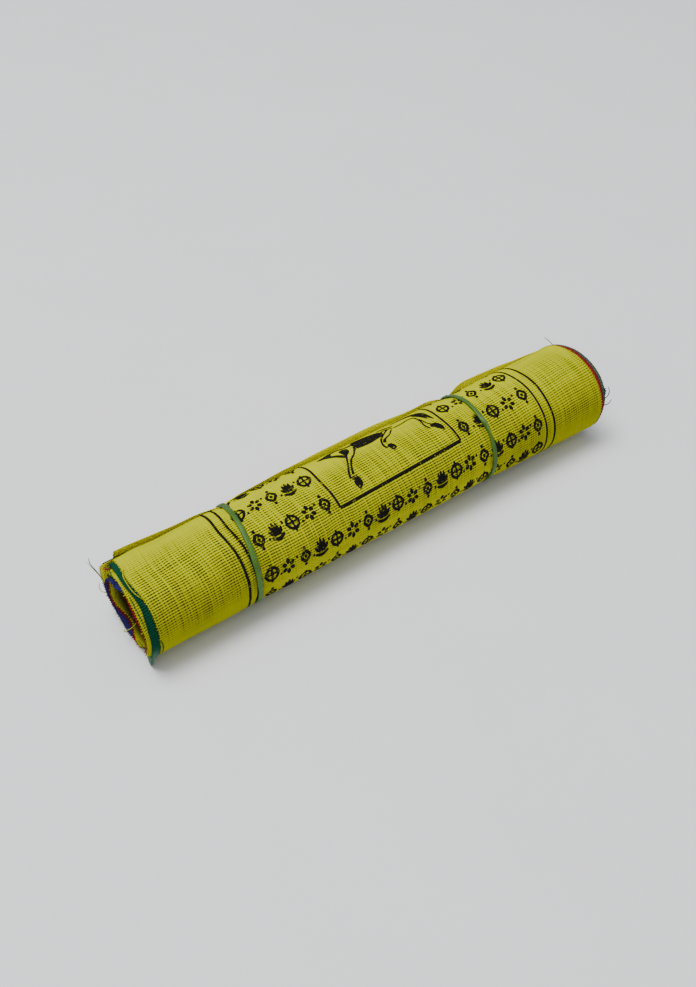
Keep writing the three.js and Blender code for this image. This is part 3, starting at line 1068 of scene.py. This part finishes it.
@dataclass(frozen=True)
class Print:
    """The block print: double border, a picture of a running horse in a frame, and ornament.

    "uprights" holds each upright border line's place across the flag and its width, and "rows"
    where each row of ornament lies.
    """

    flag: Flag
    uprights: tuple[tuple[float, float], ...] = ((34.6, 0.95), (38.2, 0.9), (171.0, 0.85), (175.1, 0.95))
    border_start: float = 21.0
    border_gap: float = 3.7
    print_end: float = 124.0
    frame_left: float = 76.5
    frame_right: float = 132.8
    frame_start: float = 83.5
    rows: Row = (36.0, 50.2, 64.0, 74.2, 87.4, 100.0, 111.4)
    motif_pitch: float = 6.9
    motif_size: float = 2.85
    ink_height: float = 0.05
    ink_mm: float = 0.03

    def borders(self) -> list[Stroke]:
        """The double line round the print, and the picture's frame with its thick lower line."""
        low, high = self.border_start, self.print_end
        outer_left, inner_left, inner_right, outer_right = self.uprights
        strokes = []
        for (a, left), (b, right), at, width in (
            (outer_left, outer_right, low, 0.95),
            (inner_left, inner_right, low + self.border_gap, 0.85),
        ):
            strokes.append(straight((a, at), (a, high), left))
            strokes.append(straight((b, at), (b, high), right))
            strokes.append(straight((a, at), (b, at), width))
        a, b, at = self.frame_left, self.frame_right, self.frame_start
        strokes.append(straight((a, at), (b, at), 1.3))
        return strokes + [straight((place, at), (place, high), 0.9) for place in (a, b)]

    def horse(self) -> list[Stroke]:
        """The lower part of a galloping horse, facing left: the rest of it is under the free edge."""
        body = [
            Stroke(
                ((96.6, 104.0), (100.4, 103.2), (103.6, 102.8), (107.0, 103.2), (110.6, 103.4)),
                (2.8, 3.0, 2.8, 2.6, 1.8),
            ),
            Stroke(((97.4, 106.2), (102.0, 105.4), (106.0, 105.2), (111.0, 104.6)), (3.2, 3.4, 3.0, 2.2)),
            Stroke(((98.2, 108.6), (103.0, 107.8), (107.0, 106.8), (110.4, 105.5)), (3.2, 3.0, 2.6, 1.6)),
            Stroke(((92.5, 108.8), (95.0, 107.4), (98.4, 106.9)), (0.5, 1.1, 1.4)),
            Stroke(((110.0, 107.8), (113.2, 107.2), (116.6, 105.7)), (0.6, 1.5, 0.8)),
            Stroke(((110.8, 105.6), (113.6, 105.2), (115.8, 104.0)), (0.7, 0.8, 0.6)),
        ]
        near_fore = [
            Stroke(
                ((94.4, 106.2), (91.6, 100.6), (89.7, 96.8), (87.8, 93.8), (86.3, 90.9)),
                (2.0, 1.0, 0.7, 0.8, 0.9),
            ),
            Stroke(
                ((97.0, 103.2), (94.6, 100.0), (92.5, 98.5), (90.4, 95.6), (88.4, 92.0)),
                (1.2, 0.7, 0.9, 0.7, 1.0),
            ),
            Stroke(((86.9, 91.3), (88.3, 90.2), (88.0, 88.4), (87.3, 85.9)), (1.5, 2.9, 3.2, 1.2)),
        ]
        far_fore = [
            Stroke(((85.1, 107.8), (88.4, 109.0), (91.6, 109.4), (94.8, 107.4)), (1.3, 1.9, 1.7, 1.4)),
            Stroke(((85.1, 106.9), (87.9, 105.0), (89.6, 103.2), (91.6, 100.6)), (1.2, 1.7, 1.7, 1.5)),
            Stroke(((91.6, 106.4), (93.0, 104.6), (92.2, 101.4)), (3.0, 3.6, 1.8)),
            Stroke(((82.4, 107.6), (85.4, 107.4), (88.6, 107.2)), (1.2, 2.6, 2.2)),
        ]
        near_hind = [
            Stroke(
                ((113.7, 105.1), (110.5, 102.9), (107.6, 100.3), (106.3, 97.2), (106.6, 94.9)),
                (0.7, 0.9, 0.9, 0.8, 0.8),
            ),
            Stroke(((114.7, 103.6), (111.9, 100.9), (108.8, 99.5), (107.7, 97.8)), (0.6, 0.7, 0.8, 1.6)),
            Stroke(((107.0, 95.4), (108.2, 95.3), (108.7, 94.3), (108.2, 92.9)), (1.2, 2.6, 3.0, 1.5)),
        ]
        far_hind = [
            Stroke(
                (
                    (115.9, 103.9), (119.4, 103.8), (123.1, 104.3), (125.3, 103.4), (125.8, 100.0),
                    (125.5, 96.0), (126.2, 93.6),
                ),  # fmt: skip
                (0.65,),
            ),
            Stroke(((125.4, 102.4), (126.4, 99.5), (127.0, 96.8), (128.0, 95.2)), (0.5, 0.6, 0.6, 0.6)),
            Stroke(((126.9, 94.4), (128.6, 94.2), (129.7, 92.8), (130.5, 90.4)), (1.8, 2.6, 2.5, 0.9)),
        ]
        tail = [
            Stroke(
                (
                    (117.0, 108.6), (122.0, 108.6), (126.4, 107.0), (129.0, 103.4), (130.0, 99.8),
                    (130.9, 97.0),
                ),  # fmt: skip
                (0.6, 1.3, 2.0, 2.7, 1.7, 0.5),
            ),
            Stroke(((126.0, 105.6), (127.8, 102.2), (129.0, 98.8)), (1.0, 1.3, 0.5)),
        ]
        return body + near_fore + far_fore + near_hind + far_hind + tail

    def lozenge(self, at: tuple[float, float], size: float) -> list[Stroke]:
        """An upright lozenge with a dot in it and one over and under it."""
        u, v = at
        tall, wide = 0.85 * size, 0.72 * size
        corners = [(u, v + tall), (u + wide, v), (u, v - tall), (u - wide, v), (u, v + tall)]
        sides = [Stroke((a, b), (1.15,)) for a, b in zip(corners, corners[1:])]
        return [*sides, *[dot(u, v + k * size, 1.3) for k in (-1.2, 0.0, 1.2)]]

    def rosette(self, at: tuple[float, float], size: float) -> list[Stroke]:
        """A flower seen from the front: six petals round a small open middle."""
        u, v = at
        strokes = []
        for k in range(6):
            c, s = float(sin_deg(60.0 * k)), float(cos_deg(60.0 * k))
            ends = [(u + r * size * c, v + r * size * 1.1 * s) for r in (0.28, 0.7, 1.0)]
            strokes.append(Stroke(tuple(ends), (0.8, 1.75, 0.9)))
        return strokes

    def lotus(self, at: tuple[float, float], size: float) -> list[Stroke]:
        """Five petals on a curved bar, like a lotus."""
        u, v = at
        bar = ((u - 0.95 * size, v - 0.75 * size), (u, v - 1.1 * size), (u + 0.95 * size, v - 0.75 * size))
        strokes = [Stroke(bar, (0.9, 1.5, 0.9))]
        for lean in (-1.0, -0.5, 0.0, 0.5, 1.0):
            tip = (u + 0.95 * size * lean, v + size * (1.15 - 0.9 * lean * lean))
            middle = (u + 0.62 * size * lean, v + size * (0.1 - 0.3 * abs(lean)))
            strokes.append(Stroke(((u + 0.16 * size * lean, v - 0.65 * size), middle, tip), (0.7, 1.5, 0.6)))
        return strokes

    def wheel(self, at: tuple[float, float], size: float) -> list[Stroke]:
        """A ring with a hub and four spokes that stand out past it."""
        u, v = at
        turn = np.linspace(0.0, TURN, 13)
        rim = zip((u + 0.78 * size * cos_deg(turn)).tolist(), (v + 0.82 * size * sin_deg(turn)).tolist())
        strokes = [Stroke(tuple(rim), (1.05,)), dot(u, v, 1.5)]
        for c, s in ((1.0, 0.0), (-1.0, 0.0), (0.0, 1.0), (0.0, -1.0)):
            ends = [(u + r * size * c * 0.85, v + r * size * s) for r in (0.2, 1.22)]
            strokes.append(Stroke(tuple(ends), (0.7, 1.0)))
        return strokes

    def ornament(self) -> list[Stroke]:
        """Rows of lozenges, rosettes, lotuses and wheels, with dots between, round the picture."""
        chance = np.random.default_rng(5)
        kinds = (self.lozenge, self.lotus, self.wheel, self.rosette)
        strokes = []
        for row, v in enumerate(self.rows):
            beside = v > self.frame_start - 4.0
            spans = ((44.0, 72.0), (137.5, 167.0)) if beside else ((43.8, 167.0),)
            for first, last in spans:
                places = np.linspace(first, last, 1 + round((last - first) / self.motif_pitch))
                for k, u in enumerate(places):
                    at = (float(u + chance.normal(0.0, 0.12)), float(v + chance.normal(0.0, 0.15)))
                    size = float(self.motif_size + chance.uniform(-0.15, 0.15))
                    strokes += kinds[(k + 2 * row) % len(kinds)](at, size)
                    if k:
                        strokes.append(dot(float((u + places[k - 1]) / 2), float(v + 1.6 * (-1) ** k), 1.0))
        return strokes

    def build(self) -> list[bpy.types.Object]:
        """Makes the border, the horse and the ornament as three thin films of ink on the cloth."""
        groups = {
            "border_lines": self.borders(),
            "running_horse": self.horse(),
            "ornament_rows": self.ornament(),
        }
        made = []
        for name, strokes in groups.items():
            surface = Surface.join([stroke.surface(self.flag, self.ink_height) for stroke in strokes])
            made.append(surface.piece(f"printed_{name}", Dye.YELLOW.print(), Dye.YELLOW.slot, self.ink_mm))
        return made


# What holds the roll.


@dataclass(frozen=True)
class RubberLoop:
    """A rubber band stretched round the roll, with a flat rounded section that may twist over.

    Its section is a little slimmer than the room that it has, and lies just clear of the cloth.
    """

    band: Band
    slimness: float = 0.92
    twist_reach: float = 26.0
    clear: float = 0.08
    steps: int = 300
    section: int = 14

    def build(self) -> bpy.types.Object:
        """Makes the band.

        Its section is a rounded box, by the fifth root of the sum of fifth powers, and it turns
        about its own middle where the band is twisted. It lies on the outer flag.

        Returns:
            The band.
        """
        angle = np.arange(self.steps)[:, None] * TURN / self.steps
        around = np.arange(self.section)[None, :] * TURN / self.section
        c, s = cos_deg(around), sin_deg(around)
        fat = (np.abs(c) ** 5 + np.abs(s) ** 5) ** -0.2
        uneven = 1.0 + 0.07 * sin_deg(3 * angle + 20) + 0.04 * sin_deg(11 * angle)
        half_wide, half_thick = self.band.width / 2 * uneven, ROLL.band_thickness / 2 * self.slimness
        twisted = (turned_from(angle, self.band.twist_at) + self.twist_reach) / (2 * self.twist_reach)
        turn = self.band.twist * eased(twisted)
        wide = half_wide * fat * c
        thick = half_thick * fat * s
        along = wide * cos_deg(turn) - thick * sin_deg(turn)
        out = wide * sin_deg(turn) + thick * cos_deg(turn)
        on_edge = 0.8 * np.abs(sin_deg(turn))
        lift = half_thick + (half_wide - half_thick) * on_edge + self.clear
        centre = self.band.place(angle)
        past_edge = turned_from(ROLL.edge_angle(centre) - angle, 0.0)
        raised = np.where(past_edge >= -6.0, ROLL.standing(centre, np.maximum(0.0, past_edge)), 0.0)
        back, up = ROLL.outside(centre, angle, -(lift + out + raised))
        up = np.maximum(up, ROLL.band_floor + half_thick * (1.0 + fat * s))
        place = np.broadcast_arrays(centre + along, back, up)
        points = np.stack(place, -1).reshape(-1, 3)
        faces = grid_faces(self.steps + 1, self.section, closed=True) % len(points)
        finish = NaturalRubber("green_natural_rubber", "446a22", "789a56", "2c4c18").material()
        return Surface(points, faces).piece(f"rubber_loop_{self.band.side}", finish, "green_rubber")


@dataclass(frozen=True)
class LooseThread:
    """A thread that has come out of an edge: its places as along, back and up."""

    name: str
    dye: Dye
    points: tuple[Place, ...]
    thickness: float = 0.3

    def surface(self) -> Surface:
        """A round tube along the smooth curve through the points, thinner towards its end."""
        sides, aside = 6, (0.31, 0.52, 0.8)
        line, share = smooth_curve(self.points, 8)
        ahead = np.gradient(line, axis=0)
        ahead /= np.linalg.norm(ahead, axis=1, keepdims=True)
        side = np.cross(ahead, aside)
        side /= np.linalg.norm(side, axis=1, keepdims=True)
        over = np.cross(ahead, side)
        around = (np.arange(sides) * TURN / sides)[None, :, None]
        radius = (self.thickness / 2 * (1.0 - 0.5 * share**3))[:, None, None]
        ring = cos_deg(around) * side[:, None] + sin_deg(around) * over[:, None]
        points = (line[:, None] + radius * ring).reshape(-1, 3)
        return Surface(points, grid_faces(len(share), sides, closed=True))

    def build(self) -> bpy.types.Object:
        """Makes the thread with closed ends."""
        made = self.surface().piece(f"loose_thread_{self.name}", self.dye.yarn(), self.dye.slot)
        close_ends(made.data)
        return made


def close_ends(mesh: bpy.types.Mesh) -> None:
    """Fills the open ends of a mesh, so that it is one closed body."""
    work = bmesh.new()
    work.from_mesh(mesh)
    bmesh.ops.holes_fill(work, edges=[e for e in work.edges if e.is_boundary], sides=12)
    bmesh.ops.recalc_face_normals(work, faces=work.faces)
    work.to_mesh(mesh)
    work.free()


def on_cloth(*places: Place) -> tuple[Place, ...]:
    """Turns places given along the roll, round it and off its surface into along, back and up."""
    along, angle, off = np.array(places, float).T
    back, up = ROLL.outside(along, angle, -off)
    return tuple(zip(along.tolist(), back.tolist(), up.tolist()))


def loose_threads() -> list[LooseThread]:
    """The threads that have come out at both ends."""
    stray_green = (
        (-4.0, 13.2, 20.4), (-5.2, 14.8, 24.3), (-6.0, 16.0, 26.7), (-6.4, 15.4, 29.3), (-6.6, 14.0, 32.4)
    )  # fmt: skip
    stray_yellow = ((-4.0, 13.6, 20.0), (-5.6, 13.5, 25.3), (-6.8, 14.2, 28.5), (-7.6, 15.6, 30.3))
    curl = (
        (-4.0, 14.8, 11.6), (-4.6, 17.2, 10.7), (-4.9, 17.4, 12.6), (-5.0, 15.4, 16.5), (-5.1, 15.2, 17.0)
    )  # fmt: skip
    across = ((-4.4, 2.0, 4.6), (-4.7, 0.4, 5.2), (-4.4, -1.8, 8.4), (-3.8, -5.2, 12.9), (-3.0, -9.3, 19.5))
    over = (
        (-1.4, 9.0, 30.4), (-3.0, 6.0, 31.8), (-3.6, 3.4, 31.4), (-3.7, 2.2, 28.8), (-3.4, 3.9, 22.9),
        (-3.0, 8.4, 14.0),
    )  # fmt: skip
    tuft = ((-3.4, 9.6, 28.9), (-3.1, 8.2, 29.8), (-2.7, 7.0, 30.3))
    bottom = ((-3.2, -6.9, 7.4), (-3.4, -10.8, 9.2), (-3.6, -14.9, 10.8), (-3.2, -16.9, 11.5))
    edge = on_cloth((0.5, 80, 0.3), (-0.9, 88, 0.4), (-1.3, 100, 0.45), (-0.9, 112, 0.45), (0.6, 122, 0.3))
    inner = on_cloth((-2.7, 112, -0.2), (-2.9, 126, 0.0), (-2.9, 140, 0.2), (-2.9, 152, 0.4))
    right_top = on_cloth((199.6, 56, 0.0), (198.9, 54, 1.9), (198.0, 53, 3.4), (197.3, 53, 4.3))
    high = on_cloth((201.8, 162, -0.6), (203.2, 158, 0.2), (203.9, 152, 0.6), (203.6, 147, 0.7))
    low = on_cloth((201.8, 172, -0.6), (203.4, 170, 0.2), (204.4, 165, 0.6))
    return [
        LooseThread("stray_green", Dye.GREEN, stray_green, 0.34),
        LooseThread("stray_yellow", Dye.YELLOW, stray_yellow, 0.22),
        LooseThread("curl_back", Dye.YELLOW, curl),
        LooseThread("across_core", Dye.YELLOW, across, 0.34),
        LooseThread("over_edge", Dye.GREEN, over, 0.34),
        LooseThread("red_tuft", Dye.RED, tuft, 0.7),
        LooseThread("bottom", Dye.GREEN, bottom),
        LooseThread("along_green", Dye.YELLOW, edge, 0.4),
        LooseThread("along_inner", Dye.GREEN, inner),
        LooseThread("front", Dye.GREEN, on_cloth((0.6, 174, 0.2), (0.9, 186, 0.3), (0.6, 202, 0.25)), 0.36),
        LooseThread("right_top", Dye.GREEN, right_top),
        LooseThread("right_blue_high", Dye.BLUE, high, 0.4),
        LooseThread("right_blue_low", Dye.BLUE, low, 0.4),
    ]


# The photographer's corner.


@dataclass(frozen=True)
class Studio:
    """A pale table, two soft lights over it, an even sky and the camera."""

    origin: Place
    camera_at: Place = (-65.505, -218.673, 291.131)
    camera_down: float = 45.51
    camera_right: float = 35.235
    focal_px: float = 1028.46
    image_height_px: float = 987.0
    sensor_mm: float = 36.0
    table_mm: float = 3000.0
    gap_mm: float = 0.05

    def camera(self) -> None:
        """Places the camera, which looks down and to the right at the roll."""
        data = bpy.data.cameras.new("camera")
        data.sensor_width = self.sensor_mm
        data.lens = self.focal_px * self.sensor_mm / self.image_height_px
        data.clip_start, data.clip_end = 0.01, 10.0
        made = placed("camera", data)
        level = cos_deg(self.camera_down)
        right, far = level * sin_deg(self.camera_right), level * cos_deg(self.camera_right)
        ahead = Vector((right, far, -sin_deg(self.camera_down)))
        made.location = [(a + o) * MM for a, o in zip(self.camera_at, self.origin)]
        made.rotation_euler = ahead.to_track_quat("-Z", "Y").to_euler()
        bpy.context.scene.camera = made

    def table(self) -> None:
        """Lays the table top under the roll."""
        half = self.table_mm / 2
        low = -self.gap_mm
        corners = [(-half, -half, low), (half, -half, low), (half, half, low), (-half, half, low)]
        mesh = bpy.data.meshes.new("table_top")
        mesh.from_pydata([[c * MM for c in corner] for corner in corners], [], [(0, 1, 2, 3)])
        mesh.materials.append(PaintedBoard("pale_painted_board", "e6e7e9").material())
        placed("table_top", mesh)

    def light(self, name: str, place: Place, size: float, power: float) -> None:
        """Hangs a square soft light that faces the roll.

        Args:
            name: the light's name.
            place: where it hangs, in metres.
            size: its side in metres.
            power: its power in watts.
        """
        data = bpy.data.lights.new(name, "AREA")
        data.shape, data.size, data.energy = "SQUARE", size, power
        lamp = placed(name, data)
        lamp.location = place
        lamp.rotation_euler = (-Vector(place)).to_track_quat("-Z", "Y").to_euler()

    def build(self) -> None:
        """Sets up the table, the lights, the even sky and the camera."""
        self.table()
        self.light("soft_box", place=(-0.4, 0.3, 2.0), size=1.1, power=53.0)
        self.light("fill_box", place=(-0.6, -0.8, 1.6), size=1.4, power=7.0)
        world = bpy.data.worlds.new("even_sky")
        world.use_nodes = True
        sky = world.node_tree.nodes["Background"]
        sky.inputs["Color"].default_value = linear("eceef2")
        sky.inputs["Strength"].default_value = 0.42
        bpy.context.scene.world = world
        self.camera()


def shift_to_frame() -> Place:
    """How far the roll's own measures lie from the frame's, in millimetres.

    Returns:
        The shift: the roll's right end is the outer flag's edge, and its widest point there is its
        half width in front of the middle line.
    """
    low, high = [np.array(corner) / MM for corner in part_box("flag_roll")]
    return float(high[0] - ROLL.length), float(low[1] + ROLL.half_widths[-1]), 0.0


def main() -> None:
    """Builds the roll piece by piece and lights it."""
    logging.basicConfig(level=logging.INFO, format="%(message)s")
    shift = shift_to_frame()
    flags = flag_stack()
    made = {flag.label: [flag.build(), *([flag.yarn_ends()] if flag.frayed else [])] for flag in flags}
    prints = Print(flags[0]).build()
    loops = [RubberLoop(band).build() for band in ROLL.bands]
    threads = [thread.build() for thread in loose_threads()]
    for piece in [*sum(made.values(), []), *prints, *loops, *threads]:
        move_mesh(piece.data, shift)
    for flag in flags:
        held_by = [loop.name for loop in loops]
    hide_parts("flag_roll")
    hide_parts("green_flag_left_edge", "green_flag_right_edge")
    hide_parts("blue_flag_left_edge")
    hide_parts("red_flag_right_edge")
    for loop, band in zip(loops, ROLL.bands):
        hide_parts(f"rubber_band_{band.side}")
    Studio(shift).build()


def move_mesh(mesh: bpy.types.Mesh, shift: Place) -> None:
    """Moves a mesh's points from the roll's own measures to the frame's."""
    places = np.empty(3 * len(mesh.vertices), np.float32)
    mesh.vertices.foreach_get("co", places)
    moved = places.reshape(-1, 3) + np.array(shift, np.float32) * MM
    mesh.vertices.foreach_set("co", moved.ravel())
    mesh.update()


if __name__ == "__main__":
    main()
